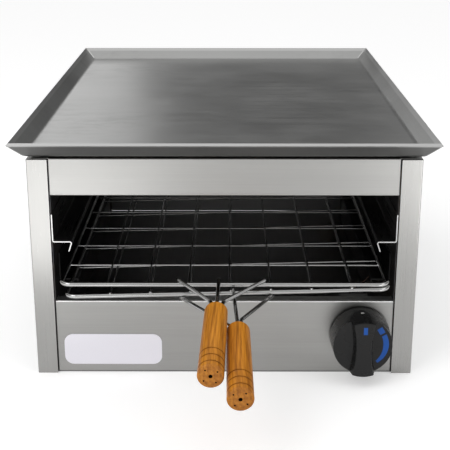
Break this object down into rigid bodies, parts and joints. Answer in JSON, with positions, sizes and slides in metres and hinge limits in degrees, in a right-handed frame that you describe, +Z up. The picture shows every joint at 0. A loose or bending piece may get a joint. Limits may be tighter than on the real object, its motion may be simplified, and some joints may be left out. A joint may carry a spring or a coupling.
{
  "type": "gas sandwich toaster",
  "caption": "Low steel cabinet toaster: flat griddle tray on top, gas burner under it, and a hinged wire grill with turned wooden handles that slides in on rails above a panel with a gas knob.",
  "frame": {"origin": "middle of the underside of the base pan, on the surface the toaster stands on", "axes": "+Z up, -Y out of the front towards the person, +X to the right as seen from the front"},
  "size_m": [0.4532, 0.8448, 0.2696],
  "materials": {
    "brushed_sheet": "brushed upright",
    "plain_sheet": "satin",
    "dark_sheet": "heat darkened satin",
    "rail_sheet": "satin",
    "griddle_steel": "fine brushed",
    "burner_steel": "heat tinted satin",
    "badge": "gloss",
    "brass": "machined",
    "sensor_sheath": "satin",
    "copper_lead": "drawn",
    "gas_pipe": "drawn",
    "valve_casting": "as cast",
    "screw_steel": "plated",
    "knob_plastic": "satin",
    "chrome_wire": "bright plated",
    "handle_wood": "oiled with burnt rings"
  },
  "bodies": {
    "cabinet": {"side_panel_left": "brushed_sheet", "side_panel_right": "brushed_sheet", "upper_front_panel": "brushed_sheet", "lower_front_panel": "brushed_sheet", "rear_panel": "plain_sheet", "base_pan": "dark_sheet", "badge_plate": "badge", "liner_left": "dark_sheet", "liner_right": "dark_sheet", "upper_rail_left": "rail_sheet", "upper_rail_right": "rail_sheet", "lower_rail_left": "rail_sheet", "lower_rail_right": "rail_sheet", "griddle_rest_left": "plain_sheet", "griddle_rest_right": "plain_sheet", "burner_header": "burner_steel", "burner_tube_left": "burner_steel", "burner_tube_middle": "burner_steel", "burner_tube_right": "burner_steel", "mixer_tube": "burner_steel", "injector": "brass", "injector_bracket": "plain_sheet", "burner_support_front": "burner_steel", "burner_support_rear": "burner_steel", "radiant_plate": "burner_steel", "flame_sensor": "sensor_sheath", "flame_sensor_lead": "copper_lead", "gas_inlet_nipple": "brass", "inlet_locknut": "brass", "supply_pipe": "gas_pipe", "burner_pipe": "gas_pipe", "pipe_nuts": "brass", "valve_body": "valve_casting", "valve_bonnet": "valve_casting", "safety_magnet": "brass", "valve_screws": "screw_steel", "rear_panel_screws": "screw_steel", "upper_panel_screws": "screw_steel", "burner_support_screws": "screw_steel", "radiant_plate_screws": "screw_steel"},
    "griddle": {"griddle_plate": "griddle_steel", "griddle_locating_pins": "griddle_steel"},
    "lower_grill": {"lower_grid": "chrome_wire", "lower_handle": "handle_wood", "lower_handle_rods": "chrome_wire", "hinge_clips": "chrome_wire"},
    "upper_grill": {"upper_grid": "chrome_wire", "upper_handle": "handle_wood", "upper_handle_rods": "chrome_wire"},
    "shutter": {"air_shutter": "burner_steel"},
    "plug": {"valve_plug": "brass", "valve_spring": "screw_steel"},
    "knob": {"knob": "knob_plastic", "valve_spindle": "screw_steel"}
  },
  "joints": [
    {"name": "griddle_lift", "type": "slide", "parent": "cabinet", "child": "griddle", "axis": [0, 0, 1], "range_m": [0, 0.1]},
    {"name": "grill_slide", "type": "slide", "parent": "cabinet", "child": "lower_grill", "axis": [0, -1, 0], "range_m": [0, 0.46]},
    {"name": "grill_open", "type": "hinge", "parent": "lower_grill", "child": "upper_grill", "pos_m": [0, 0.1275, 0.1161], "axis": [-1, 0, 0], "range_deg": [0, 3.4]},
    {"name": "shutter_turn", "type": "hinge", "parent": "cabinet", "child": "shutter", "pos_m": [0.1385, -0.248, 0.226], "axis": [1, 0, 0], "range_deg": [0, 60]},
    {"name": "knob_turn", "type": "hinge", "parent": "cabinet", "child": "plug", "pos_m": [0.1505, -0.266, 0.0471], "axis": [0, -1, 0], "range_deg": [0, 150]},
    {"name": "knob_press", "type": "slide", "parent": "plug", "child": "knob", "axis": [0, 1, 0], "range_m": [0, 0.004], "stiffness_N_per_m": 1500, "deforming": ["valve_spring"]}
  ]
}
